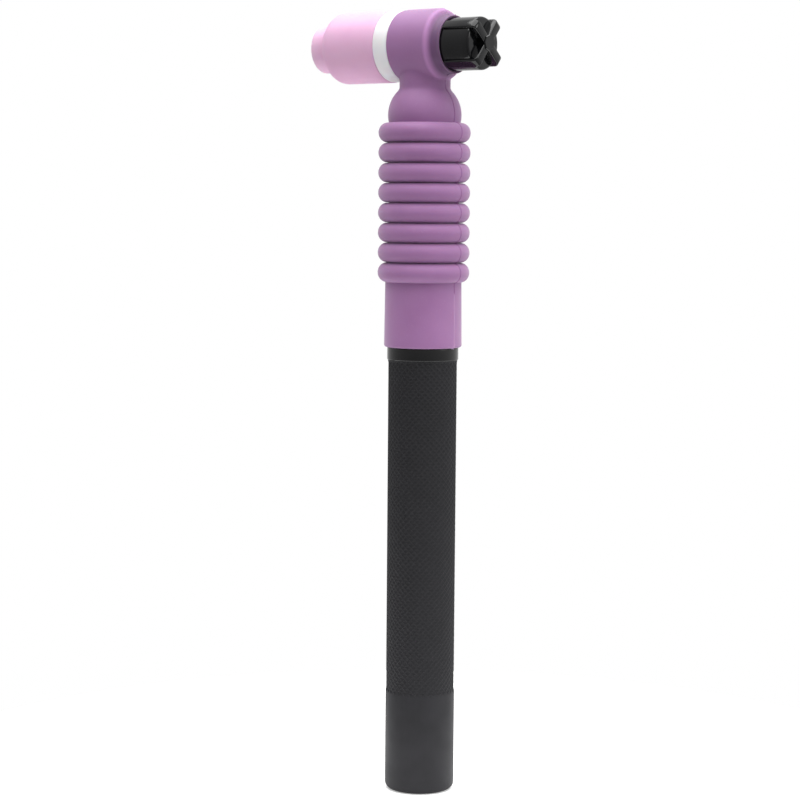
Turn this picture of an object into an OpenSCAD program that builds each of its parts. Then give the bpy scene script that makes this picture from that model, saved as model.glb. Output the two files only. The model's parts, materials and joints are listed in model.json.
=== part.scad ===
// Gas-cooled tungsten arc welding torch with a flexible neck, a gas lens and a short back cap.
// The origin is the centre of the knurled grip, on the handle's axis. +Z runs along the handle
// to the head, the nozzle points along -X and the back cap along +X.

/* [Handle] */
// Outside diameter of the handle tube
handle_d = 24; // [22:0.5:30]
// Length of the knurled grip
grip_len = 115.6; // [95:0.1:140]
// Length of the smooth band at the cable end
band_len = 34.3; // [28:0.1:42]
// Radius of the rounded edge at the cable end
rear_round = 2.4; // [1:0.1:3]
// Wall of the handle tube round its cavity
handle_wall = 2.2; // [1.6:0.1:3]
// Diameter of the opening for the power cable
cable_bore_d = 17; // [13:0.5:18]
// Length of the opening for the power cable
cable_bore_len = 40; // [25:1:60]

/* [Ferrule and sleeve] */
// How far the ferrule's collar stands proud of the handle
collar_proud = 0.25; // [0.1:0.05:0.6]
// Visible length of the ferrule's collar
collar_len = 4.4; // [3:0.1:8]
// Length of the ferrule's plug inside the handle
plug_len = 24; // [15:1:35]
// Length of the ferrule's spigot inside the sleeve
spigot_len = 15; // [8:0.5:16]
// Diameter of the rubber sleeve at its lower end
sleeve_d = 26.7; // [25.5:0.1:33]
// How much narrower the sleeve is at its upper end
sleeve_taper = 0.5; // [0:0.1:1.5]
// Thickness of the rubber round the spigot
sleeve_wall = 2.6; // [1.8:0.1:4]
// Length from the collar to the first groove of the neck
sleeve_len = 22.2; // [20:0.1:30]

/* [Flexible neck] */
// Number of bellows rings
ring_count = 8; // [4:1:10]
// Distance from ring to ring
ring_pitch = 6.8; // [5.6:0.1:8.5]
// Outside diameter of a ring
ring_d = 31.5; // [27:0.1:38]
// Radius of a ring's rounded rim
rim_round = 3.1; // [2.6:0.1:4]
// Bend that one groove allows, in degrees
groove_bend = 9; // [6:0.5:9.5]
// Clearance on each side of a groove's middle plane
groove_gap = 0.25; // [0.15:0.05:0.4]
// Outside diameter of the soft copper neck tube
tube_d = 10; // [8:0.1:12]
// Wall of the neck tube
tube_wall = 1.2; // [0.8:0.1:2]

/* [Head] */
// Diameter of the rubber jacket round the head
jacket_d = 24.3; // [23.5:0.1:29.5]
// Thickness of the rubber round the head's barrel
jacket_wall = 3.55; // [2.8:0.05:4]
// Distance from the neck's axis to the head's front face
nose_len = 7.7; // [7:0.1:11]
// Distance from the neck's axis to the barrel's rear face
barrel_tail = 8.6; // [8:0.1:12]
// Depth of the recess behind the barrel, which takes the back cap
recess_depth = 2.6; // [2:0.1:4]
// Radius of the jacket's rounded rear edge
bead_round = 2; // [1.6:0.1:2.4]
// Radius of the hollow between the rounded edge and the lip
dish_round = 2.6; // [2:0.1:3]
// Length of the lip behind the hollow
lip_len = 1.4; // [1:0.1:2]
// Thickness of the rubber lip round the back cap
lip_wall = 0.6; // [0.5:0.05:0.8]
// Diameter of the neck under the head
neck_d = 17.4; // [16:0.1:20]
// Height of the head's axis above the dome
neck_rise = 14.9; // [13.5:0.1:19]
// Largest diameter of the dome
dome_d = 25.1; // [22:0.1:30]
// Height of the dome
dome_len = 11.2; // [9:0.1:14]
// Height of the dome's widest place above the last groove
dome_waist = 2.6; // [2:0.1:4]
// Wall of brass round the neck tube's socket
socket_wall = 1.5; // [1:0.1:2]

/* [Nozzle and gas lens] */
// Length of the ceramic nozzle
nozzle_len = 30.2; // [28:0.1:40]
// Diameter of the nozzle's body
nozzle_d = 24.6; // [22:0.1:30]
// Wall of the nozzle round its thread
nozzle_wall = 3.25; // [2.6:0.05:4]
// Diameter of the nozzle's tip
tip_d = 16.6; // [15:0.1:20]
// Length of the nozzle's tip
tip_len = 5.6; // [4:0.1:8]
// Diameter of the nozzle's mouth
mouth_d = 11.2; // [8:0.1:13]
// Radius of the nozzle's rounded shoulder
shoulder_round = 4.6; // [3:0.1:5]
// Length of the nozzle's thread
nozzle_thread_len = 8; // [7:0.1:9]
// Thickness of the gasket between nozzle and head
gasket_len = 5.9; // [4:0.1:8]
// Outside diameter of the gasket
gasket_d = 24.2; // [22:0.1:29]
// Distance that the gas lens ends behind the nozzle's mouth
lens_setback = 12.8; // [12:0.1:15]
// Wall of the gas lens's cup
cup_wall = 1.2; // [0.8:0.1:1.6]
// Diameter of the lens's threaded spigot in the head
spigot_d = 9.5; // [8.5:0.1:11]
// Outside diameter of the tungsten electrode
electrode_d = 2.4; // [1:0.1:3.2]
// Distance that the electrode's point rests behind the nozzle's mouth
electrode_recess = 5.5; // [5:0.1:8]
// Wall of the collet
collet_wall = 1.16; // [0.8:0.02:1.4]

/* [Back cap] */
// Diameter of the cap's body
cap_d = 17.8; // [16:0.1:19]
// Distance from the neck's axis to the end of the cap's body
cap_reach = 24; // [20:0.1:34]
// Height of the ribs above the cap's end
cap_rise = 2.4; // [1:0.1:4]
// Height of the ribs above the cap's side
rib_proud = 0.6; // [0.3:0.1:1]
// Width of a rib
rib_w = 3.3; // [2.5:0.1:4]
// Angle that the ribs are turned from the diagonals when the cap is tight
rib_turn = 4; // [0:1:45]
// Diameter of the cap's threaded brass insert
insert_d = 10.8; // [9:0.1:11.5]

/* [Tail fitting] */
// Width across flats of the tail fitting's hexagon
tail_hex = 13; // [12:0.5:14]
// Diameter of the tail fitting's thread
tail_thread_d = 9.6; // [8:0.1:12]
// Length of the tail fitting's plain thread
tail_thread_len = 12; // [10:0.5:16]
// Bore for the shielding gas
gas_bore_d = 4.4; // [3:0.1:5]

/* [Fits] */
// Radial clearance of a thread or a sliding piece
run_fit = 0.05; // [0.02:0.01:0.08]
// Radial gap between the back cap and the rubber recess
recess_gap = 0.4; // [0.3:0.05:0.5]

/* [Hidden] */
$fn = 64;

handle_r = handle_d / 2;
cavity_r = handle_r - handle_wall;
cable_bore_r = cable_bore_d / 2;
grip_top = grip_len / 2;
handle_low = -grip_len / 2 - band_len;
collar_r = handle_r + collar_proud;
collar_chamfer = 0.4;
collar_top = grip_top + collar_len;
sleeve_r = sleeve_d / 2;
spigot_r = sleeve_r - sleeve_wall;
sleeve_edge = 0.8;

tube_r = tube_d / 2;
neck_low = collar_top + sleeve_len;
neck_top = neck_low + ring_count * ring_pitch;
relief = tan(groove_bend / 2);
tube_gap = groove_gap + tube_r * relief;
ring_r = ring_d / 2;
reach = ring_r + 10;

dome_r = dome_d / 2;
neck_r = neck_d / 2;
dome_top = neck_top + dome_len;
dome_side = dome_len - dome_waist;
dome_arc = (dome_side * dome_side + pow(dome_r - neck_r, 2)) / (2 * (dome_r - neck_r));
head_z = dome_top + neck_rise;
jacket_r = jacket_d / 2;
jacket_tail = barrel_tail + recess_depth;
barrel_r = jacket_r - jacket_wall;
cap_r = cap_d / 2;
recess_r = cap_r + recess_gap;
lip_r = recess_r + lip_wall;
dish_turn = acos(1 - (jacket_r - lip_r) / (bead_round + dish_round));
dish_end = jacket_tail - lip_len;
bead_at = dish_end - (bead_round + dish_round) * sin(dish_turn);
insert_r = insert_d / 2;
rear_bore_r = insert_r + run_fit;
socket_floor = 3.45;
tube_top = head_z - rear_bore_r - socket_floor;
boss_r = tube_r + socket_wall;
boss_low = dome_top + 0.5;
gas_bore_r = gas_bore_d / 2;
passage_x = 2;

gasket_face = nose_len + gasket_len;
nozzle_end = gasket_face + nozzle_len;
nozzle_r = nozzle_d / 2;
thread_r = nozzle_r - nozzle_wall;
tip_r = tip_d / 2;
mouth_r = mouth_d / 2;
shoulder_at = nozzle_end - tip_len - shoulder_round - 0.6;
taper_at = nozzle_end - lens_setback + 1;
mouth_at = nozzle_end - tip_len - 0.2;
tip_edge = 0.8;
lens_r = thread_r - run_fit;
lens_end = nozzle_end - lens_setback;
thread_end = gasket_face + nozzle_thread_len;
cup_out_r = lens_r - 0.4;
cup_r = cup_out_r - cup_wall;
web_len = 2.4;
plenum_r = lens_r - 2.8;
plenum_at = 14;
hub_r = 3;
electrode_r = electrode_d / 2;
electrode_bore_r = electrode_r + run_fit;
collet_r = electrode_bore_r + collet_wall;
collet_bore_r = collet_r + run_fit;
collet_seat = thread_end + web_len - 0.2;
annulus_r = collet_r + 1;
lens_foot = 1;
front_bore_r = spigot_d / 2;
screen_t = 0.3;
screen_step = 1;
screen_at = thread_end + web_len + 1.6;
screen_count = 3;
port_count = 6;
port_r = 0.8;
electrode_back = 17;
electrode_tip = nozzle_end - electrode_recess;
electrode_cone = 5;

cap_at = barrel_tail + 1.8;
rib_at = jacket_tail + 0.3;
seal_r = 0.85;
seal_mid_r = insert_r + 1.2;
insert_at = 3.4;
collet_back = insert_at - 0.1;
insert_end = 18;
cap_end = cap_reach + cap_rise;
rib_chamfer = 1.2;
cap_chamfer = 0.9;
cap_hub_r = 2.8;
cap_hub_rise = 0.4;

tail_socket_wall = 1.2;
tail_top = grip_top - plug_len - 1.8;
tail_socket_len = 6;
tail_hex_top = tail_top - tail_socket_len;
tail_hex_len = 8;
tail_thread_at = tail_hex_top - tail_hex_len;
thread_chamfer = 1;

rings = [1:ring_count];

// Points of a round arc, from one angle to another, in equal steps
function arc(centre, r, from, to, steps = 8) =
    [for (i = [0:steps]) let (a = from + (to - from) * i / steps) centre + r * [cos(a), sin(a)]];

// Height of the groove under ring i, counted from the handle
function groove_z(i) = neck_low + (i - 1) * ring_pitch;

// Places a shape that is drawn along +Z so that it runs from the head's centre to the nozzle
module along_nozzle() {
    translate([0, 0, head_z])
        rotate([0, -90, 0])
            children();
}

// Places a shape that is drawn along +Z so that it runs from the head's centre to the back cap
module along_cap() {
    translate([0, 0, head_z])
        rotate([0, 90, 0])
            children();
}

// Section of the room above a groove, which widens outwards so that the neck can bend
module room_above(z, top) {
    polygon([[0, z + groove_gap], [reach, z + groove_gap + reach * relief], [reach, top], [0, top]]);
}

// Section of the room below a groove
module room_below(z, bottom) {
    polygon([[0, z - groove_gap], [0, bottom], [reach, bottom], [reach, z - groove_gap - reach * relief]]);
}

// Plain tube between two heights on the handle's axis
module neck_pipe(low, high) {
    color("peru")
        translate([0, 0, low])
            difference() {
                cylinder(h = high - low, r = tube_r);
                translate([0, 0, -1])
                    cylinder(h = high - low + 2, r = tube_r - tube_wall);
            }
}

// Handle tube, with a narrow bore for the cable and a wide cavity for the tail fitting
module handle_tube() {
    color("#38373c")
        rotate_extrude()
            polygon(concat(
                [[cable_bore_r, handle_low]],
                arc([handle_r - rear_round, handle_low + rear_round], rear_round, -90, 0),
                [
                    [handle_r, grip_top],
                    [cavity_r, grip_top],
                    [cavity_r, handle_low + cable_bore_len + cavity_r - cable_bore_r],
                    [cable_bore_r, handle_low + cable_bore_len]
                ]
            ));
}

// Moulded bush between the handle, the neck tube and the rubber sleeve
module ferrule() {
    color("#1d1d1e")
        rotate_extrude()
            polygon([
                [tube_r, grip_top - plug_len],
                [cavity_r, grip_top - plug_len],
                [cavity_r, grip_top],
                [collar_r - collar_chamfer, grip_top],
                [collar_r, grip_top + collar_chamfer],
                [collar_r, collar_top],
                [spigot_r, collar_top],
                [spigot_r, collar_top + spigot_len],
                [tube_r, collar_top + spigot_len]
            ]);
}

// Brass fitting brazed on the lower end of the neck tube, for the power cable
module tail_fitting() {
    color("goldenrod")
        difference() {
            union() {
                rotate_extrude()
                    polygon([
                        [0, tail_thread_at - tail_thread_len - thread_chamfer],
                        [tail_thread_d / 2 - thread_chamfer, tail_thread_at - tail_thread_len - thread_chamfer],
                        [tail_thread_d / 2, tail_thread_at - tail_thread_len],
                        [tail_thread_d / 2, tail_thread_at + 1],
                        [0, tail_thread_at + 1]
                    ]);
                translate([0, 0, tail_thread_at])
                    cylinder(h = tail_hex_len, r = tail_hex / sqrt(3), $fn = 6);
                translate([0, 0, tail_hex_top - 1])
                    cylinder(h = tail_top - tail_hex_top + 1, r = tube_r + tail_socket_wall);
            }
            translate([0, 0, tail_top - tail_socket_len])
                cylinder(h = tail_socket_len + 1, r = tube_r);
            translate([0, 0, tail_thread_at - tail_thread_len - 2])
                cylinder(h = tail_top, r = gas_bore_r);
        }
}

// Lower end of the rubber jacket, pushed over the ferrule's spigot
module jacket_sleeve() {
    color("#976e9a")
        rotate_extrude()
            intersection() {
                polygon(concat(
                    [
                        [tube_r, neck_low],
                        [tube_r, collar_top + spigot_len],
                        [spigot_r, collar_top + spigot_len],
                        [spigot_r, collar_top]
                    ],
                    arc([sleeve_r - sleeve_edge, collar_top + sleeve_edge], sleeve_edge, -90, 0, 4),
                    [[sleeve_r - sleeve_taper / 2, neck_low]]
                ));
                room_below(neck_low, collar_top - 1);
            }
}

// Lower length of the neck tube, from the tail fitting to the first groove
module neck_tube_tail() {
    neck_pipe(tail_top - tail_socket_len, neck_low - tube_gap);
}

// Rubber ring i of the bellows, gripping its own length of the neck tube
module bellows_ring(i) {
    color("#9f6f9f")
        rotate_extrude()
            intersection() {
                translate([ring_r - rim_round, groove_z(i) + ring_pitch / 2])
                    union() {
                        circle(r = rim_round);
                        translate([tube_r - ring_r + rim_round, -ring_pitch / 2])
                            square([ring_r - rim_round - tube_r, ring_pitch]);
                    }
                room_above(groove_z(i), neck_top);
                room_below(groove_z(i + 1), neck_low);
            }
}

// Length i of the neck tube, between two grooves
module neck_tube(i) {
    neck_pipe(groove_z(i) + tube_gap, groove_z(i + 1) - tube_gap);
}

// Upper length of the neck tube, brazed into the head
module neck_tube_head() {
    neck_pipe(neck_top + tube_gap, tube_top);
}

// Brass head: a barrel threaded at both ends, with a socket for the neck tube below it
module head_body() {
    color("goldenrod")
        difference() {
            union() {
                along_nozzle()
                    translate([0, 0, -barrel_tail])
                        cylinder(h = barrel_tail + nose_len, r = barrel_r);
                translate([0, 0, boss_low])
                    cylinder(h = head_z - boss_low, r = boss_r);
            }
            along_nozzle() {
                translate([0, 0, -lens_foot])
                    cylinder(h = lens_foot + nose_len + 1, r = front_bore_r);
                translate([0, 0, -barrel_tail])
                    cylinder(h = barrel_tail, r = annulus_r - 0.2);
            }
            along_cap()
                translate([0, 0, insert_at - 0.4])
                    cylinder(h = barrel_tail, r = rear_bore_r);
            translate([0, 0, boss_low - 1])
                cylinder(h = tube_top - boss_low + 1, r = tube_r);
            translate([passage_x, 0, tube_top - 1])
                cylinder(h = head_z - tube_top + 1, r = gas_bore_r - 0.2);
        }
}

// Section of the dome and the neck above it
module dome_section() {
    intersection() {
        polygon(concat(
            [[0, head_z], [0, neck_top]],
            arc(
                [dome_r - dome_arc, neck_top + dome_waist],
                dome_arc,
                -asin(dome_waist / dome_arc),
                asin(dome_side / dome_arc),
                14
            ),
            [[neck_r, head_z]]
        ));
        room_above(neck_top, head_z + 1);
    }
}

// Upper end of the rubber jacket: the dome, the neck and the round the head's barrel
module head_jacket() {
    color("#8d668f")
        difference() {
            union() {
                rotate_extrude()
                    dome_section();
                along_cap()
                    rotate_extrude()
                        polygon(concat(
                            [[0, -nose_len], [jacket_r, -nose_len]],
                            arc([jacket_r - bead_round, bead_at], bead_round, 0, dish_turn, 5),
                            arc([lip_r + dish_round, dish_end], dish_round, 180 + dish_turn, 180, 5),
                            [[lip_r, jacket_tail], [0, jacket_tail]]
                        ));
            }
            along_cap() {
                translate([0, 0, -nose_len - 1])
                    cylinder(h = nose_len + barrel_tail + 1, r = barrel_r);
                translate([0, 0, barrel_tail])
                    cylinder(h = recess_depth + 1, r = recess_r);
            }
            along_nozzle()
                translate([0, 0, nose_len])
                    cylinder(h = neck_r, r = gasket_d / 2 + recess_gap);
            translate([0, 0, boss_low])
                cylinder(h = head_z - boss_low, r = boss_r);
            translate([0, 0, neck_top])
                cylinder(h = boss_low - neck_top, r = tube_r);
        }
}

// Gas lens body: spigot, threaded collar, web with gas ports, cup and hub
module lens_body() {
    color("darkgoldenrod")
        along_nozzle()
            difference() {
                rotate_extrude()
                    polygon([
                        [annulus_r, -lens_foot],
                        [front_bore_r, -lens_foot],
                        [front_bore_r, nose_len],
                        [lens_r, nose_len],
                        [lens_r, thread_end],
                        [cup_out_r, thread_end],
                        [cup_out_r, lens_end],
                        [cup_r, lens_end],
                        [cup_r, thread_end + web_len],
                        [hub_r, thread_end + web_len],
                        [hub_r, lens_end - 0.5],
                        [electrode_r + 0.2, lens_end - 0.5],
                        [electrode_r + 0.2, collet_seat],
                        [collet_bore_r, collet_seat],
                        [collet_bore_r, thread_end],
                        [plenum_r, thread_end],
                        [plenum_r, plenum_at],
                        [annulus_r, plenum_at]
                    ]);
                for (i = [0:port_count - 1])
                    rotate([0, 0, i * 360 / port_count])
                        translate([(hub_r + plenum_r) / 2, 0, thread_end - 1])
                            cylinder(h = web_len + 2, r = port_r);
            }
}

// Fine mesh screens that even out the gas
module lens_screens() {
    color("silver")
        along_nozzle()
            for (i = [0:screen_count - 1])
                translate([0, 0, screen_at + i * screen_step])
                    difference() {
                        cylinder(h = screen_t, r = cup_r);
                        translate([0, 0, -1])
                            cylinder(h = screen_t + 2, r = hub_r);
                    }
}

// Ring that holds the screens in the cup
module lens_retaining_ring() {
    color("darkgoldenrod")
        along_nozzle()
            translate([0, 0, screen_at + (screen_count - 1) * screen_step + screen_t])
                difference() {
                    cylinder(h = 1, r = cup_r);
                    translate([0, 0, -1])
                        cylinder(h = 3, r = cup_r - 0.9);
                }
}

// Split copper collet that grips the electrode
module collet() {
    slot_w = 0.5;
    slot_len = 14;
    color("peru")
        along_nozzle()
            difference() {
                translate([0, 0, -collet_back])
                    cylinder(h = collet_back + collet_seat, r = collet_r);
                translate([0, 0, -collet_back - 1])
                    cylinder(h = collet_back + collet_seat + 2, r = electrode_bore_r);
                for (a = [0, 90])
                    rotate([0, 0, a])
                        translate([-collet_r - 1, -slot_w / 2, collet_seat - slot_len])
                            cube([2 * collet_r + 2, slot_w, slot_len + 1]);
            }
}

// Ground tungsten electrode
module electrode() {
    color("gray")
        along_nozzle()
            rotate_extrude()
                polygon([
                    [0, -electrode_back],
                    [electrode_r, -electrode_back],
                    [electrode_r, electrode_tip - electrode_cone],
                    [0.15, electrode_tip],
                    [0, electrode_tip]
                ]);
}

// White heat shield ring between the nozzle and the head
module nozzle_gasket() {
    color("#e1e1e3")
        along_nozzle()
            translate([0, 0, nose_len])
                difference() {
                    cylinder(h = gasket_len, r = gasket_d / 2);
                    translate([0, 0, -1])
                        cylinder(h = gasket_len + 2, r = thread_r);
                }
}

// Alumina nozzle, screwed on the gas lens
module nozzle() {
    color("#d3a8c7")
        along_nozzle()
            rotate_extrude()
                polygon(concat(
                    [[thread_r, gasket_face], [nozzle_r - 0.3, gasket_face], [nozzle_r, gasket_face + 0.3]],
                    arc([nozzle_r - shoulder_round, shoulder_at], shoulder_round, 0, 76, 8),
                    [[tip_r, nozzle_end - tip_len]],
                    arc([tip_r - tip_edge, nozzle_end - tip_edge], tip_edge, 0, 90, 4),
                    [
                        [mouth_r, nozzle_end],
                        [mouth_r, mouth_at],
                        [thread_r + 0.4, taper_at],
                        [thread_r + 0.4, thread_end],
                        [thread_r, thread_end]
                    ]
                ));
}

// Seal between the back cap and the head
module cap_o_ring() {
    color("#202022")
        along_cap()
            translate([0, 0, barrel_tail + 0.05 + seal_r])
                rotate_extrude()
                    translate([seal_mid_r, 0])
                        circle(r = seal_r);
}

// Threaded brass insert of the back cap, which presses on the collet
module cap_insert() {
    color("goldenrod")
        along_cap()
            translate([0, 0, insert_at])
                difference() {
                    cylinder(h = insert_end - insert_at, r = insert_r);
                    translate([0, 0, -1])
                        cylinder(h = insert_end - insert_at + 2, r = electrode_r + 0.5);
                }
}

// Section of the ribs' outer form
module rib_section() {
    rib_r = cap_r + rib_proud;
    polygon([
        [0, rib_at],
        [rib_r, rib_at],
        [rib_r, cap_end - rib_chamfer],
        [rib_r - rib_chamfer, cap_end],
        [0, cap_end]
    ]);
}

// Short moulded back cap with four grip ribs that cross on its end
module back_cap() {
    color("#191a1e")
        difference() {
            along_cap()
                union() {
                    rotate_extrude()
                        polygon([
                            [0, cap_at],
                            [cap_r, cap_at],
                            [cap_r, cap_reach - cap_chamfer],
                            [cap_r - cap_chamfer, cap_reach],
                            [0, cap_reach]
                        ]);
                    cylinder(h = cap_end + cap_hub_rise, r = cap_hub_r);
                    intersection() {
                        rotate_extrude()
                            rib_section();
                        union()
                            for (a = [45, 135])
                                rotate([0, 0, a + rib_turn])
                                    translate([-cap_r - 2, -rib_w / 2, cap_at])
                                        cube([2 * cap_r + 4, rib_w, cap_end]);
                    }
                }
            along_cap() {
                translate([0, 0, -1])
                    cylinder(h = insert_end + 1, r = insert_r);
                cylinder(h = insert_end + 1, r = electrode_r + 0.5);
            }
        }
}

handle_tube();
ferrule();
tail_fitting();
jacket_sleeve();
neck_tube_tail();
for (i = rings) {
    bellows_ring(i);
    neck_tube(i);
}
neck_tube_head();
head_body();
head_jacket();
lens_body();
lens_screens();
lens_retaining_ring();
collet();
electrode();
nozzle_gasket();
nozzle();
cap_o_ring();
cap_insert();
back_cap();
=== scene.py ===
import json
import math

import bmesh
import bpy
from mathutils import Matrix, Vector


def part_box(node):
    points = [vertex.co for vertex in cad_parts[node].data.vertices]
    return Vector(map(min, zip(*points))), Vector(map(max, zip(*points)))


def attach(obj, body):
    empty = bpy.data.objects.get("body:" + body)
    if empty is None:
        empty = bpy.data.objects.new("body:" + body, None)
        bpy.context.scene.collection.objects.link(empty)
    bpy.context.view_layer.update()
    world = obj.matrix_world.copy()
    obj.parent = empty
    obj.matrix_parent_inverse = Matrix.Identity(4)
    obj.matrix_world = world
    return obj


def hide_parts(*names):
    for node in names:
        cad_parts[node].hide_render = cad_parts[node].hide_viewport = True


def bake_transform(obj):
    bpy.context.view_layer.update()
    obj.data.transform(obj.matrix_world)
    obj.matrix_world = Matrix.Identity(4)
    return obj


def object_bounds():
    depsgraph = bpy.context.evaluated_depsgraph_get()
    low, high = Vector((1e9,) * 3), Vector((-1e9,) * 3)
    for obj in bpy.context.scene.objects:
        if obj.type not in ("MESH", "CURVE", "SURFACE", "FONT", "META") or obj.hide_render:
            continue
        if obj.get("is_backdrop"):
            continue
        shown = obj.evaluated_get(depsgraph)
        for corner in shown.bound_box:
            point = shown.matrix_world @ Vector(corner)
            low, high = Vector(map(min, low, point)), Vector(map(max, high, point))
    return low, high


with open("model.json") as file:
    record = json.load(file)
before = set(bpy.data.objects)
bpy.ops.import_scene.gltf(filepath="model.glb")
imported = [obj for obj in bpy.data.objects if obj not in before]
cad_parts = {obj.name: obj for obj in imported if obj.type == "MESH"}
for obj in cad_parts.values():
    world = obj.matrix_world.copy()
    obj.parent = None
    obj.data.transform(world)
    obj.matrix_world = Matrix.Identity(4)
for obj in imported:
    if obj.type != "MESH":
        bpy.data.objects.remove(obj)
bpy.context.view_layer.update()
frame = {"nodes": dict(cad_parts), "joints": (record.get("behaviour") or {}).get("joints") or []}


# ---- Brass fittings ---------------------------------------------------------------------------
# The tail fitting, the head, the gas lens, its retaining ring and the cap's insert are turned from
# free-cutting brass. The tail fitting and the head are brazed on the copper neck tube.

mm = 0.001


def paint(code):
    """A colour from its hexadecimal code, as the shader wants it."""
    channels = [int(code[i:i + 2], 16) / 255 for i in (0, 2, 4)]
    linear = [c / 12.92 if c < 0.04045 else ((c + 0.055) / 1.055) ** 2.4 for c in channels]
    return (*linear, 1)


class Value:
    """A number in a finish. Arithmetic on it adds the Math nodes."""

    def __init__(self, finish, socket):
        self.finish = finish
        self.socket = socket

    def maths(self, operation, *terms):
        return self.finish.add("Math", {"operation": operation}, dict(enumerate(terms)))

    def __add__(self, other):
        return self.maths("ADD", self, other)

    def __sub__(self, other):
        return self.maths("SUBTRACT", self, other)

    def __rsub__(self, other):
        return self.maths("SUBTRACT", other, self)

    def __mul__(self, other):
        return self.maths("MULTIPLY", self, other)

    def __truediv__(self, other):
        return self.maths("DIVIDE", self, other)

    def __pow__(self, other):
        return self.maths("POWER", self, other)

    __radd__ = __add__
    __rmul__ = __mul__

    def clamped(self):
        return self.maths("MINIMUM", self.maths("MAXIMUM", self, 0), 1)

    def sine(self):
        return self.maths("SINE", self)


class Finish:
    """A material: one shader with its constants, and the nodes that vary it over the surface."""

    def __init__(self, name, constants):
        self.material = bpy.data.materials.new(name)
        self.material.use_nodes = True
        self.nodes = self.material.node_tree.nodes
        self.shader = self.nodes["Principled BSDF"]
        self.feed(self.shader, constants)
        self.place = self.add("TexCoord", {}, {}, "Object")

    def feed(self, node, inputs):
        for name, value in inputs.items():
            if isinstance(value, Value):
                self.material.node_tree.links.new(value.socket, node.inputs[name])
            else:
                node.inputs[name].default_value = value

    def add(self, kind, settings, inputs, output=0):
        node = self.nodes.new("ShaderNode" + kind)
        for name, value in settings.items():
            if name == "stops":
                ramp = node.color_ramp.elements
                ramp[0].position, ramp[0].color = value[0]
                ramp[1].position, ramp[1].color = value[-1]
                for position, colour in value[1:-1]:
                    ramp.new(position).color = colour
            else:
                setattr(node, name, value)
        self.feed(node, inputs)
        return Value(self, node.outputs[output])

    def noise(self, size, detail=3, stretch=(1, 1, 1)):
        """Noise of 0 to 1 with features of about that size, drawn out where stretch is under 1."""
        at = self.add("Mapping", {}, {"Vector": self.place, "Scale": stretch})
        return self.add("TexNoise", {}, {"Vector": at, "Scale": 1 / size, "Detail": detail})

    def mix(self, first, second, share):
        """A colour between two others."""
        return self.add("Mix", {"data_type": "RGBA"}, {0: share, 6: first, 7: second}, 2)

    def axis(self, letter):
        """One coordinate in the part's frame, in metres."""
        return self.add("SeparateXYZ", {}, {0: self.place}, letter)

    def end(self, colour, roughness, height, depth, metallic=None):
        """Feeds the shader: colour, roughness, and a height of 0 to 1 as a bump of that depth."""
        bump = self.add("Bump", {}, {"Height": height, "Distance": depth, "Strength": 1.0})
        self.feed(self.shader, {"Base Color": colour, "Roughness": roughness, "Normal": bump})
        if metallic is not None:
            self.feed(self.shader, {"Metallic": metallic})
        return self.material


def dress(material, slot, *names):
    """Gives CAD nodes their finish."""
    for name in names:
        frame["nodes"][name].material_slots[0].material = material


def turned_brass(name, stretch):
    """Brass with the tool's marks across its turning axis, and a little tarnish."""
    finish = Finish(name, {"Metallic": 1.0})
    marks = finish.noise(1.2 * mm, 2, stretch)
    tarnish = finish.noise(4 * mm, 4)
    colour = finish.mix(paint("d9b36a"), paint("a87f3c"), (tarnish - 0.35).clamped())
    return finish.end(colour, 0.2 + 0.22 * tarnish, marks, 0.02 * mm)


along_x = turned_brass("brass_turned_across", (14, 0.6, 0.6))
along_z = turned_brass("brass_turned_upright", (0.6, 0.6, 14))
dress(along_x, "brass", "head_body", "lens_body", "lens_retaining_ring", "cap_insert")
dress(along_z, "brass", "tail_fitting")


# ---- Copper neck tube and collet --------------------------------------------------------------
# The neck tube is soft drawn copper, which takes the bend and carries the current and the gas.
# The collet is a copper tube that is slit crosswise at its nose. Both are browned by heat.

def drawn_copper(name, stretch):
    """Copper with fine drawing lines and brown patches from brazing heat."""
    finish = Finish(name, {"Metallic": 1.0})
    lines = finish.noise(0.9 * mm, 2, stretch)
    heat = finish.noise(5 * mm, 4)
    colour = finish.mix(paint("d98c64"), paint("7f4a34"), ((heat - 0.4) * 2).clamped())
    return finish.end(colour, 0.25 + 0.25 * heat, lines, 0.015 * mm)


tubes = [n for n in frame["nodes"] if n.startswith("neck_tube_")]
dress(drawn_copper("copper_upright", (1, 1, 0.06)), "copper", *tubes)
dress(drawn_copper("copper_across", (0.06, 1, 1)), "copper", "collet")


# ---- Gas lens screens -------------------------------------------------------------------------
# Three discs punched from fine stainless steel cloth. They are stacked in the gas lens's cup, where
# the retaining ring holds them, and they even out the gas.

wire_pitch = 0.45 * mm
finish = Finish("steel_cloth", {"Metallic": 1.0})
warp = (finish.axis("Y") * (math.tau / wire_pitch)).sine()
weft = (finish.axis("Z") * (math.tau / wire_pitch)).sine()
weave = warp * weft * 0.5 + 0.5
colour = finish.mix(paint("3c3c3e"), paint("b9babd"), weave)
dress(finish.end(colour, 0.45 - 0.1 * weave, weave, 0.08 * mm), "steel_mesh", "lens_screens")


# ---- Tungsten electrode -----------------------------------------------------------------------
# A centreless ground tungsten rod that the collet grips. Its point is ground lengthwise, which
# leaves fine scratches.

finish = Finish("ground_tungsten", {"Metallic": 1.0})
scratches = finish.noise(0.35 * mm, 2, (0.08, 1, 1))
colour = finish.mix(paint("8d8e92"), paint("b7b8bb"), scratches)
dress(finish.end(colour, 0.28 + 0.15 * scratches, scratches, 0.01 * mm), "tungsten", "electrode")


# ---- Handle -----------------------------------------------------------------------------------
# A moulded black nylon tube. A fine diamond knurl covers the grip, and the cable end is a plain
# band with a rounded edge. Inside is a narrow bore for the cable and a wide cavity above it.

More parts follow.
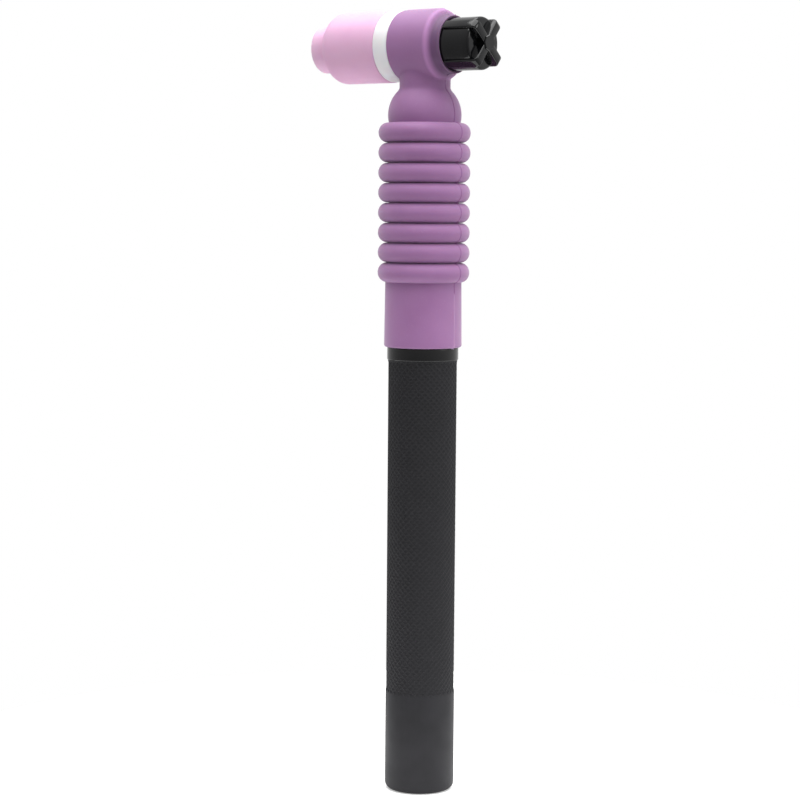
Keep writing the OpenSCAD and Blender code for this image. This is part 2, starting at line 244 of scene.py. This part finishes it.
grip_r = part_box("handle_tube")[1].x
grip_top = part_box("handle_tube")[1].z
grip_low = -grip_top
band_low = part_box("handle_tube")[0].z
knurl_depth = 0.2 * mm
knurl_slope = 0.42 * mm
knurl_columns = 36
knurl_rows = 56
band_round = 2.4 * mm
bore_r = 8.5 * mm
bore_top = band_low + 40 * mm
cavity_r = 9.8 * mm


def arc(centre, radius, start, end, steps, tall=1):
    """Points (radius, place) of a round stretch of an outline, by its angles in degrees."""
    angles = [math.radians(start + (end - start) * i / steps) for i in range(steps + 1)]
    return [
        (centre[0] + radius * math.cos(a), centre[1] + radius * tall * math.sin(a)) for a in angles
    ]


def grow(start, outline):
    """Extrudes the selected ring from its own (radius, place) through an outline of such points."""
    radius, place = start
    for next_radius, next_place in outline:
        bpy.ops.mesh.extrude_region_move(
            TRANSFORM_OT_translate={"value": (0, 0, next_place - place)}
        )
        share = next_radius / radius
        bpy.ops.transform.resize(value=(share, share, 1), center_override=(0, 0, next_place))
        radius, place = next_radius, next_place


def ring(name, sides, radius, place):
    """A new piece in edit mode that is one ring on the Z axis, all selected."""
    bpy.ops.object.select_all(action="DESELECT")
    bpy.ops.mesh.primitive_circle_add(vertices=sides, radius=radius, location=(0, 0, place))
    bpy.ops.object.transform_apply()
    piece = bpy.context.object
    piece.name = piece.data.name = name
    bpy.ops.object.mode_set(mode="EDIT")
    return piece


def pick(kind, wanted):
    """Selects the edges or faces of the piece in edit mode that pass a test, and nothing else."""
    bpy.ops.mesh.select_mode(type=kind)
    bpy.ops.mesh.select_all(action="DESELECT")
    mesh = bmesh.from_edit_mesh(bpy.context.object.data)
    for part in {"VERT": mesh.verts, "EDGE": mesh.edges, "FACE": mesh.faces}[kind]:
        if wanted(part):
            part.select_set(True)
    mesh.select_flush_mode()
    bmesh.update_edit_mesh(bpy.context.object.data)


def weld():
    """Merges the points of the piece in edit mode that meet, and turns its faces outwards."""
    bpy.ops.mesh.select_mode(type="VERT")
    bpy.ops.mesh.select_all(action="SELECT")
    bpy.ops.mesh.remove_doubles(threshold=0.002 * mm)
    bpy.ops.mesh.normals_make_consistent(inside=False)


def close(piece, material, smooth=30):
    """Welds a piece, leaves edit mode, smooths it and gives it its finish."""
    weld()
    bpy.ops.object.mode_set(mode="OBJECT")
    bpy.ops.object.shade_smooth_by_angle(angle=math.radians(smooth))
    piece.data.materials.clear()
    piece.data.materials.append(material)
    return piece


def from_axis(vertex):
    return math.hypot(vertex.co.x, vertex.co.y)


finish = Finish("moulded_nylon", {"Specular IOR Level": 0.32})
out = (finish.axis("X") ** 2 + finish.axis("Y") ** 2) ** 0.5
crest = ((out - (grip_r - knurl_depth)) / knurl_depth).clamped()
grain = finish.noise(0.25 * mm, 3)
handling = finish.noise(9 * mm, 4)
shade = (0.25 * grain + 0.35 * crest * handling + 0.3 * handling).clamped()
colour = finish.mix(paint("0e0e11"), paint("242328"), shade)
nylon = finish.end(colour, 0.66 - 0.2 * crest * handling, grain, 0.02 * mm)

valley_r = grip_r - knurl_depth
row = (grip_top - grip_low) / knurl_rows
handle = ring("handle", knurl_columns, valley_r, grip_low)
grow((valley_r, grip_low), [(valley_r, grip_low + row * i) for i in range(1, knurl_rows + 1)])
bpy.ops.mesh.select_all(action="SELECT")
bpy.ops.mesh.poke()
flat = math.cos(math.pi / knurl_columns)
middle_r = valley_r * (1 + flat) / 2
pick("VERT", lambda v: from_axis(v) < middle_r)
bpy.ops.transform.resize(value=(1 / flat, 1 / flat, 1), center_override=(0, 0, 0))
pick("EDGE", lambda e: e.calc_length() > 0.85 * row and len(e.link_faces) == 2)
bpy.ops.mesh.dissolve_edges(use_verts=False)
pick("FACE", lambda f: len(f.verts) == 4)
bpy.ops.mesh.inset(thickness=knurl_slope, depth=knurl_depth, use_individual=True)
pick("EDGE", lambda e: len(e.link_faces) == 1)
bpy.ops.mesh.subdivide(number_cuts=1)
pick("VERT", lambda v: v.is_boundary and from_axis(v) < middle_r)
bpy.ops.transform.resize(value=(1 / flat, 1 / flat, 1), center_override=(0, 0, 0))
pick("VERT", lambda v: v.is_boundary)
out_share = grip_r / valley_r
bpy.ops.transform.resize(value=(out_share, out_share, 1), center_override=(0, 0, 0))
pick("EDGE", lambda e: len(e.link_faces) == 1 and e.verts[0].co.z < 0)
bore_edge = 0.3 * mm
band = arc((grip_r - band_round, band_low + band_round), band_round, 0, -90, 8)
bore = arc((bore_r + bore_edge, band_low + bore_edge), bore_edge, -90, -180, 3)
cavity = [(bore_r, bore_top), (cavity_r, bore_top + cavity_r - bore_r), (cavity_r, grip_top)]
grow((grip_r, grip_low), band + bore + cavity + [(grip_r, grip_top)])
handle = close(handle, nylon)
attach(handle, "handle")
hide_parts("handle_tube")


# ---- Ferrule ----------------------------------------------------------------------------------
# A glossy black moulded bush. Its plug is pressed into the handle, its spigot carries the rubber
# sleeve, and only its collar shows between them. The lower edge of the collar is chamfered.

collar_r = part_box("ferrule")[1].x
collar_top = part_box("jacket_sleeve")[0].z
plug_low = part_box("ferrule")[0].z
spigot_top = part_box("ferrule")[1].z
spigot_r = 10.75 * mm
tube_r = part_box("neck_tube_1")[1].x
chamfer = 0.4 * mm
edge = 0.25 * mm

finish = Finish("glossy_black", {"Specular IOR Level": 0.5})
swirl = finish.noise(6 * mm, 3)
scuffs = finish.noise(0.5 * mm, 4, (1, 1, 4))
colour = finish.mix(paint("050506"), paint("0c0c0d"), swirl)
gloss = finish.end(colour, 0.08 + 0.12 * scuffs, scuffs, 0.002 * mm)

ferrule = ring("ferrule_bush", 96, tube_r, plug_low)
grow((tube_r, plug_low), [
    (cavity_r - edge, plug_low),
    (cavity_r, plug_low + edge),
    (cavity_r, grip_top),
    (collar_r - chamfer, grip_top),
    *arc((collar_r - chamfer, grip_top + chamfer), chamfer, -60, 0, 3),
    *arc((collar_r - edge, collar_top - edge), edge, 0, 90, 3),
    (spigot_r, collar_top),
    (spigot_r, spigot_top - edge),
    (spigot_r - edge, spigot_top),
    (tube_r, spigot_top),
    (tube_r, plug_low),
])
ferrule = close(ferrule, gloss)
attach(ferrule, "handle")
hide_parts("ferrule")


# ---- Rubber jacket: sleeve and bellows --------------------------------------------------------
# One moulding of mauve silicone rubber on the real torch: sleeve, eight bellows rings, dome and
# head. It is cut here at the crests of the rings, into one length about each groove.

bends = [j for j in frame["joints"] if j["name"].startswith("neck_")]
grooves = [j["pos_m"][2] for j in bends]
pitch = grooves[1] - grooves[0]
crest_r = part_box("bellows_ring_1")[1].x
rim = 3.1 * mm
rim_tall = 1.08
rim_mid = crest_r - rim
root = pitch / 2 - rim * rim_tall
root_r = 12.1 * mm
crest_flat = 0.06 * mm
inner_r = tube_r + 0.4 * mm
sleeve_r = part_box("jacket_sleeve")[1].x
sleeve_taper = 0.25 * mm
sleeve_edge = 0.8 * mm
sleeve_steps = 8
jacket_sides = 96
seam_w = 0.3 * mm
seam_h = 0.24 * mm

finish = Finish("mauve_silicone", {
    "Specular IOR Level": 0.4, "Sheen Weight": 0.25, "Sheen Roughness": 0.5,
    "Subsurface Weight": 0.08, "Subsurface Scale": 1.5 * mm,
})
cloud = finish.noise(12 * mm, 4)
dust = finish.noise(0.6 * mm, 5)
grain = finish.noise(0.18 * mm, 2)
# A pale line painted along the parting line, on the sleeve and on the head's round, is a painted
# highlight: it stands in for the light that the raised ridge catches.
parting = (1 - (finish.axis("Y") ** 2) ** 0.5 / (1.6 * seam_w)).clamped()
colour = finish.mix(paint("906092"), paint("a072a2"), cloud)
colour = finish.mix(colour, paint("bd9dbd"), ((dust - 0.62) * 1.5).clamped())
on_sleeve = ((grooves[0] - rim - finish.axis("Z")) / mm).clamped()
in_round = ((finish.axis("Z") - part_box("nozzle_gasket")[0].z) / (0.5 * mm)).clamped()
colour = finish.mix(colour, paint("c79fc8"), 0.8 * parting * (on_sleeve + in_round))
# Painted light on the head's rear: the pale band along the crest of the rolled edge is a painted
# highlight, and the dark band in the hollow next to the back cap is painted shade.
from_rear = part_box("head_jacket")[1].x - finish.axis("X")
bead_highlight = (1 - ((from_rear - 4.4 * mm) ** 2) ** 0.5 / (1.0 * mm)).clamped()
hollow = (2.3 - ((from_rear - 1.6 * mm) ** 2) ** 0.5 / (1.0 * mm)).clamped()
colour = finish.mix(colour, paint("b883ba"), 0.7 * bead_highlight * in_round)
# Painted shade in the hollow between the rolled edge and the back cap.
colour = finish.mix(colour, paint("54365a"), 0.8 * hollow * in_round)
rubber = finish.end(colour, 0.48 + 0.16 * dust, 0.7 * grain + 0.3 * dust, 0.015 * mm)


def ring_below(groove, end=90):
    """Upper quarter of the ring under a groove, from its crest to an angle of its rim."""
    middle = groove - pitch / 2
    return [
        (crest_r, middle),
        (crest_r, middle + crest_flat),
        *arc((rim_mid, middle), rim, 9, end, 9, rim_tall),
    ]


def ring_above(groove, end=90):
    """Lower quarter of the ring over a groove, from an angle of its rim to its crest."""
    return [(r, 2 * groove - z) for r, z in reversed(ring_below(groove, end))]


def root_of(groove):
    return arc((root_r + root, groove), root, 270, 90, 6)


def raise_seam(is_outer):
    """Raises the mould's parting line, along the outer edges in the plane Y = 0."""

    def on_seam(vertex):
        return abs(vertex.co.y) < 0.004 * mm and is_outer(vertex)

    pick("EDGE", lambda e: e.is_manifold and all(on_seam(v) for v in e.verts))
    bpy.ops.mesh.bevel(offset=seam_w, segments=2, affect="EDGES", clamp_overlap=False)
    pick("VERT", on_seam)
    bpy.ops.transform.shrink_fatten(value=seam_h)


def bend(piece, number):
    """Bakes the placement of a finished length of the jacket into its mesh; number counts its
    groove, 1 at the handle.
    """
    joint = bends[number - 1]
    z = grooves[number - 1]
    z - rim
    z + rim
    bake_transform(piece)


for number, groove in enumerate(grooves[:-1], 1):
    top = groove + pitch / 2
    if number == 1:
        low = collar_top
        start = (spigot_r, low)
        rise = (groove - low - sleeve_edge) / sleeve_steps
        narrowing = sleeve_taper / sleeve_steps
        outer = [
            *arc((sleeve_r - sleeve_edge, low + sleeve_edge), sleeve_edge, -90, 0, 6),
            *[
                (sleeve_r - narrowing * i, low + sleeve_edge + rise * i)
                for i in range(1, sleeve_steps + 1)
            ],
            *ring_above(groove, 82),
        ]
        inside = [(inner_r, groove), (inner_r, spigot_top), (spigot_r, spigot_top), start]
    else:
        low = groove - pitch / 2
        start = (inner_r, low)
        outer = ring_below(groove) + root_of(groove) + ring_above(groove)
        inside = [(inner_r, groove + pitch * (3 - i) / 6) for i in range(1, 7)]
    piece = ring(f"jacket_{number}", jacket_sides, *start)
    grow(start, outer + [(inner_r, top)] + inside)
    weld()
    raise_seam(lambda v: from_axis(v) > spigot_r + 0.5 * mm)
    close(piece, rubber)
    bend(piece, number)
    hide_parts("jacket_sleeve" if number == 1 else f"bellows_ring_{number - 1}")


# ---- Rubber jacket: dome and head -------------------------------------------------------------
# The top of the jacket: a dome, a short neck and a round that grips the brass head. The round ends
# in a rolled edge and a hollow about the lip that the back cap goes through. The piece is cut in
# its neck, between the dome and the head.

groove = grooves[-1]
head_z = (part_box("nozzle")[0].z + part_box("nozzle")[1].z) / 2
face = -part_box("nozzle_gasket")[1].x
jacket_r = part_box("head_jacket")[1].z - head_z
jacket_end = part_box("head_jacket")[1].x
brass_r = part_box("head_body")[1].z - head_z
brass_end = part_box("head_body")[1].x
dome_r = 12.55 * mm
waist = groove + 2.6 * mm
neck_r = 8.7 * mm
neck_low = groove + 11.2 * mm
neck_top = head_z - 8.3 * mm
neck_steps = 7
gasket_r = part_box("nozzle_gasket")[1].z - head_z
nose_r = gasket_r + 0.4 * mm
cap_r = 8.9 * mm
recess_r = cap_r + 0.1 * mm
lip_r = recess_r + 0.55 * mm
bead = 2 * mm
dish = 2.6 * mm
dish_end = jacket_end - 1.4 * mm
fillet = 1.2 * mm


def turned(name, sides, start, outline, toward=0, inside=()):
    """A round piece on the Z axis, or on the head's axis toward -1, the nozzle, or 1, the cap.

    Its outline comes back to its start, or ends on the axis and has an inside that does so too."""
    piece = ring(name, sides, *start)
    grow(start, outline if inside else outline + [start])
    weld()
    if inside:
        pick("EDGE", lambda e: e.is_boundary)
        grow(start, inside)
        weld()
    bpy.ops.object.mode_set(mode="OBJECT")
    if toward:
        piece.rotation_euler = (0, toward * math.pi / 2, 0)
        piece.location = (0, 0, head_z)
        bpy.ops.object.transform_apply()
    return piece


def combine(piece, other, operation):
    """Joins a solid to a piece, or cuts it out, and deletes it."""
    bpy.ops.object.select_all(action="DESELECT")
    bpy.context.view_layer.objects.active = piece
    piece.select_set(True)
    modifier = piece.modifiers.new("combine", "BOOLEAN")
    modifier.object = other
    modifier.operation = operation
    modifier.solver = "EXACT"
    bpy.ops.object.modifier_apply(modifier=modifier.name)
    bpy.data.objects.remove(other)


dome_side = neck_low - waist
bulge = (dome_side ** 2 + (dome_r - neck_r) ** 2) / (2 * (dome_r - neck_r))
steep = math.degrees(math.asin(dome_side / bulge))
flare = math.degrees(math.asin((waist - groove) / bulge))
low = groove - pitch / 2
neck_step = (neck_top - neck_low) / neck_steps
neck_rings = [(neck_r, neck_low + neck_step * (i + 0.5)) for i in range(neck_steps)]
neck_cut = neck_rings[1][1]
dome = turned("jacket_9", jacket_sides, (inner_r, low), [
    *ring_below(groove, 92),
    *arc((dome_r - bulge, waist), bulge, -flare, steep * 0.94, 14),
    *neck_rings[:2],
    (inner_r, neck_cut),
    *[(inner_r, groove + pitch * (3 - i) / 6) for i in range(6)],
])
bpy.ops.object.mode_set(mode="EDIT")
raise_seam(lambda v: from_axis(v) > inner_r + 1 * mm)
dome = close(dome, rubber)
bend(dome, len(grooves))
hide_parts(f"bellows_ring_{len(grooves) - 1}")

head = turned("jacket_head", jacket_sides, (inner_r, neck_cut), [
    *neck_rings[1:],
    (neck_r, neck_top),
    (inner_r, neck_top),
])
bpy.ops.object.mode_set(mode="EDIT")
raise_seam(lambda v: from_axis(v) > inner_r + 1 * mm)
bpy.ops.object.mode_set(mode="OBJECT")
nose = turned("nose_cutter", jacket_sides, (nose_r, face), [
    (nose_r, face + neck_r), (0, face + neck_r),
], -1, [(0, face)])
combine(head, nose, "DIFFERENCE")
recess = turned("recess_cutter", jacket_sides, (recess_r, brass_end), [
    (recess_r, jacket_end), (0, jacket_end),
], 1, [(0, brass_end)])
combine(head, recess, "DIFFERENCE")
dish_turn = math.acos(1 - (jacket_r - lip_r) / (bead + dish))
bead_at = dish_end - (bead + dish) * math.sin(dish_turn)
dish_turn = math.degrees(dish_turn)
barrel_step = (face + bead_at) / 15
barrel = turned("barrel", jacket_sides, (brass_r, -face), [
    *arc((jacket_r - edge, edge - face), edge, -90, 0, 3),
    *[(jacket_r, barrel_step * i - face) for i in range(1, 15)],
    *arc((jacket_r - bead, bead_at), bead, 0, dish_turn, 10)[:-1],
    *arc((lip_r + dish, dish_end), dish, dish_turn - 180, -203, 12),
    *arc((lip_r, jacket_end - edge), edge, 0, 90, 3),
    (recess_r, jacket_end - edge),
    (recess_r, brass_end),
    (brass_r, brass_end),
], 1)
bpy.ops.object.mode_set(mode="EDIT")
raise_seam(lambda v: math.hypot(v.co.y, v.co.z - head_z) > recess_r + 0.5 * mm)
bpy.ops.object.mode_set(mode="OBJECT")
combine(head, barrel, "UNION")


def in_crook(vertex):
    """True near the line where the neck runs into the head's round."""
    off_round = math.hypot(vertex.co.y, vertex.co.z - head_z) - jacket_r
    off_neck = from_axis(vertex) - neck_r
    low_side = vertex.co.z < head_z - 5 * mm
    return low_side and -0.05 * mm < off_round < fillet and -0.05 * mm < off_neck < fillet


bpy.ops.object.mode_set(mode="EDIT")
pick("VERT", in_crook)
bpy.ops.mesh.remove_doubles(threshold=0.12 * mm)
pick("VERT", in_crook)
bpy.ops.mesh.vertices_smooth(factor=0.5, repeat=6)
head = close(head, rubber)
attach(head, "head")
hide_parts("head_jacket")


# ---- Gasket -----------------------------------------------------------------------------------
# A white fluoropolymer heat shield, turned from rod, that the nozzle clamps against the head. A
# hair's gap keeps its face out of the rubber's own plane.

gasket_far = -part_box("nozzle_gasket")[0].x
gasket_near = face + 0.05 * mm
thread_r = 9.05 * mm

finish = Finish("white_fluoropolymer", {
    "Specular IOR Level": 0.4, "Subsurface Weight": 0.2, "Subsurface Scale": 1.0 * mm,
})
marks = finish.noise(0.8 * mm, 2, (8, 0.8, 0.8))
smudge = finish.noise(5 * mm, 3)
colour = finish.mix(paint("f6f6f7"), paint("eceaee"), smudge)
shield = finish.end(colour, 0.42 + 0.12 * smudge, marks, 0.02 * mm)

gasket = turned("gasket", 128, (thread_r, gasket_near), [
    *arc((gasket_r - edge, gasket_near + edge), edge, -90, 0, 3),
    *arc((gasket_r - edge, gasket_far - edge), edge, 0, 90, 3),
    (thread_r, gasket_far),
], -1)
bpy.ops.object.mode_set(mode="EDIT")
gasket = close(gasket, shield)
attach(gasket, "nozzle_seat")
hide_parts("nozzle_gasket")


# ---- Nozzle -----------------------------------------------------------------------------------
# A pressed and fired pink alumina cup, unglazed, with a round shoulder that runs in a soft hollow
# into the narrower tip. It screws on the gas lens and its bore tapers to the mouth.

nozzle_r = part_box("nozzle")[1].z - head_z
mouth = -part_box("nozzle")[0].x
tip_r = 8.3 * mm
tip_len = 5.6 * mm
tip_edge = 0.8 * mm
mouth_r = 5.6 * mm
shoulder = 4.6 * mm
shoulder_at = mouth - tip_len - shoulder - 0.6 * mm
hollow = 0.9 * mm
clearance_r = thread_r + 0.4 * mm
thread_end = gasket_far + 8 * mm
cup_end = mouth - 11.8 * mm
side_low = gasket_far + edge
side_step = (shoulder_at - side_low) / 6
tip_low = mouth - tip_len + hollow
tip_step = (tip_len - hollow - tip_edge) / 3

finish = Finish("pink_alumina", {
    "Specular IOR Level": 0.45, "Subsurface Weight": 0.1, "Subsurface Scale": 0.8 * mm,
})
fired = finish.noise(7 * mm, 4)
grit = finish.noise(0.22 * mm, 4)
# The colour turns paler towards the tip.
toward_tip = ((0 - finish.axis("X") - (mouth - tip_len)) / tip_len).clamped()
colour = finish.mix(paint("dfabd0"), paint("e8bbda"), fired)
colour = finish.mix(colour, paint("f0cbe4"), 0.6 * toward_tip)
colour = finish.mix(colour, paint("b98aa9"), ((grit - 0.6) * 1.2).clamped())
alumina = finish.end(colour, 0.5 + 0.15 * grit, grit, 0.03 * mm)

nozzle = turned("nozzle_cup", 128, (thread_r, gasket_far), [
    *arc((nozzle_r - edge, side_low), edge, -90, 0, 3),
    *[(nozzle_r, side_low + side_step * i) for i in range(1, 6)],
    *arc((nozzle_r - shoulder, shoulder_at), shoulder, 0, 72, 12),
    *arc((tip_r + hollow, tip_low), hollow, -112, -180, 6),
    *[(tip_r, tip_low + tip_step * i) for i in range(1, 3)],
    *arc((tip_r - tip_edge, mouth - tip_edge), tip_edge, 0, 90, 5),
    *arc((mouth_r + edge, mouth - edge), edge, 90, 180, 3),
    (mouth_r, mouth - tip_len - 0.2 * mm),
    (clearance_r, cup_end),
    (clearance_r, thread_end),
    (thread_r, thread_end),
], -1)
bpy.ops.object.mode_set(mode="EDIT")
nozzle = close(nozzle, alumina)
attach(nozzle, "nozzle")
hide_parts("nozzle")


# ---- Back cap's seal --------------------------------------------------------------------------
# A moulded nitrile O-ring round the cap's insert. The cap squeezes it against the head, so that no
# gas leaks out behind.

finish = Finish("nitrile", {"Specular IOR Level": 0.4})
bloom = finish.noise(1.5 * mm, 4)
colour = finish.mix(paint("1c1c1e"), paint("343437"), bloom)
dress(finish.end(colour, 0.5 + 0.2 * bloom, bloom, 0.02 * mm), "seal_rubber", "cap_o_ring")


# ---- Back cap ---------------------------------------------------------------------------------
# A short cap of glossy black phenolic, moulded over its brass insert. Four grip ribs run along it
# and cross on its end about a small hub. Its front end goes through the jacket's lip.

cap_end = 24 * mm
cap_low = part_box("back_cap")[0].x
cap_corner = 0.9 * mm
cap_step = (cap_end - cap_corner - cap_low) / 6
rib_r = 9.7 * mm
rib_w = 3.3 * mm
rib_low = jacket_end + 0.3 * mm
rib_end = 26.4 * mm
rib_corner = 1.9 * mm
rib_edge = 0.4 * mm
rib_turn = math.radians(49)
hub_r = 2.9 * mm
hub_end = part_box("back_cap")[1].x
insert_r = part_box("cap_insert")[1].z - head_z
insert_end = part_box("cap_insert")[1].x
rod_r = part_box("electrode")[1].z - head_z + 0.5 * mm

cap = turned("cap", 128, (cap_r - edge, cap_low), [
    *arc((cap_r - edge, cap_low + edge), edge, -90, 0, 3),
    *[(cap_r, cap_low + cap_step * i) for i in range(1, 6)],
    *arc((cap_r - cap_corner, cap_end - cap_corner), cap_corner, 0, 90, 6),
    (0, cap_end),
], 1, [(0, cap_low)])

bpy.ops.object.select_all(action="DESELECT")
bpy.ops.mesh.primitive_cube_add(size=rib_w, location=(0, 0, (rib_end + rib_low) / 2))
ribs = bpy.context.object
ribs.scale.z = (rib_end - rib_low) / rib_w
bpy.ops.object.transform_apply()
bpy.ops.object.mode_set(mode="EDIT")
pick("FACE", lambda f: abs(f.normal.z) < 0.5)
bpy.ops.mesh.extrude_faces_move(TRANSFORM_OT_shrink_fatten={"value": rib_r - rib_w / 2})
pick("EDGE", lambda e: all(from_axis(v) > rib_r and v.co.z > cap_end for v in e.verts))
bpy.ops.mesh.bevel(offset=rib_corner, segments=6, affect="EDGES")
pick("EDGE", lambda e: e.calc_face_angle_signed() > math.radians(60))
bpy.ops.mesh.bevel(offset=rib_edge, segments=3, affect="EDGES")
bpy.ops.object.mode_set(mode="OBJECT")
ribs.rotation_euler = (0, 0, rib_turn)
bpy.ops.object.transform_apply()
ribs.rotation_euler = (0, math.pi / 2, 0)
ribs.location = (0, 0, head_z)
bpy.ops.object.transform_apply()
combine(cap, ribs, "UNION")

hub_low = cap_end - 1 * mm
hub = turned("hub", 8, (hub_r, hub_low), [
    (hub_r, hub_end - edge), (hub_r - edge, hub_end), (0, hub_end),
], 1, [(0, hub_low)])
combine(cap, hub, "UNION")
cutter_low = cap_low - 1 * mm
cutter_end = insert_end + 1 * mm
bore = turned("bore_cutter", 128, (insert_r, cutter_low), [
    (insert_r, insert_end), (rod_r, insert_end), (rod_r, cutter_end), (0, cutter_end),
], 1, [(0, cutter_low)])
combine(cap, bore, "DIFFERENCE")

finish = Finish("glossy_phenolic", {"Specular IOR Level": 0.4})
flow = finish.noise(5 * mm, 3)
rub = finish.noise(0.4 * mm, 4)
colour = finish.mix(paint("040406"), paint("0b0b0e"), flow)
phenolic = finish.end(colour, 0.06 + 0.08 * rub, rub, 0.002 * mm)
bpy.ops.object.mode_set(mode="EDIT")
cap = close(cap, phenolic)
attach(cap, "back_cap")
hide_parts("back_cap")


# ---- Studio -----------------------------------------------------------------------------------
# A pale floor under the handle's end, white surroundings, two soft lamps and the camera. The floor
# is small, so that it throws little light up under the rings.

floor_r = 0.2
bpy.ops.object.select_all(action="DESELECT")
bpy.ops.mesh.primitive_circle_add(
    vertices=128, radius=floor_r, fill_type="NGON", location=(0, 0, band_low)
)
floor = bpy.context.object
floor.name = "floor"
finish = Finish("pale_floor", {"Emission Color": (1, 1, 1, 1), "Emission Strength": 0.35})
tone = finish.noise(0.3, 2)
colour = finish.mix(paint("e6e6e6"), paint("ececec"), tone)
floor.data.materials.append(finish.end(colour, 0.8 + 0.1 * tone, tone, 0.1 * mm))
floor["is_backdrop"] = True

room_light = 0.62
brighter_toward = (-0.05, 0.22, 0.22)
world = bpy.data.worlds.new("surroundings")
world.use_nodes = True
shades = world.node_tree.nodes
seen = shades.new("ShaderNodeLightPath")
where = shades.new("ShaderNodeTexCoord")
slope = shades.new("ShaderNodeVectorMath")
slope.operation = "DOT_PRODUCT"
slope.inputs[1].default_value = brighter_toward
room = shades.new("ShaderNodeMath")
room.inputs[1].default_value = room_light
level = shades.new("ShaderNodeMix")
level.inputs["B"].default_value = 1.0
world.node_tree.links.new(where.outputs["Generated"], slope.inputs[0])
world.node_tree.links.new(slope.outputs["Value"], room.inputs[0])
world.node_tree.links.new(room.outputs["Value"], level.inputs["A"])
world.node_tree.links.new(seen.outputs["Is Camera Ray"], level.inputs["Factor"])
world.node_tree.links.new(level.outputs["Result"], shades["Background"].inputs["Strength"])
shades["Background"].inputs["Color"].default_value = (1, 1, 1, 1)
bpy.context.scene.world = world
bpy.context.scene.view_settings.view_transform = "Standard"


def soft_lamp(name, toward, strength, spread):
    """A broad soft light, like a big diffuser far away in one direction."""
    light = bpy.data.lights.new(name, "SUN")
    light.energy = strength
    light.angle = math.radians(spread)
    lamp = bpy.data.objects.new(name, light)
    bpy.context.scene.collection.objects.link(lamp)
    lamp.rotation_euler = Vector(toward).to_track_quat("Z", "Y").to_euler()


soft_lamp("overhead_diffuser", (0.1, -0.05, 1.0), 4.2, 75)
soft_lamp("right_diffuser", (1.0, 0.3, 0.4), 0.5, 24)

azimuth = math.radians(37)
pitch_down = math.radians(5)
roll = math.radians(0.45)
camera_back = 0.7904
camera_right = -0.0077
camera_height = 0.1129
camera_data = bpy.data.cameras.new("camera")
camera_data.sensor_width = 36
camera_data.lens = 103.5
camera_data.clip_start = 0.01
camera = bpy.data.objects.new("camera", camera_data)
bpy.context.scene.collection.objects.link(camera)
back = Vector((math.sin(azimuth), -math.cos(azimuth), 0))
right = Vector((math.cos(azimuth), math.sin(azimuth), 0))
camera.location = back * camera_back + right * camera_right + Vector((0, 0, camera_height))
turn = Matrix.Rotation(azimuth, 3, "Z") @ Matrix.Rotation(math.pi / 2 - pitch_down, 3, "X")
camera.rotation_euler = (turn @ Matrix.Rotation(roll, 3, "Z")).to_euler()
bpy.context.scene.camera = camera

low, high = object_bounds()
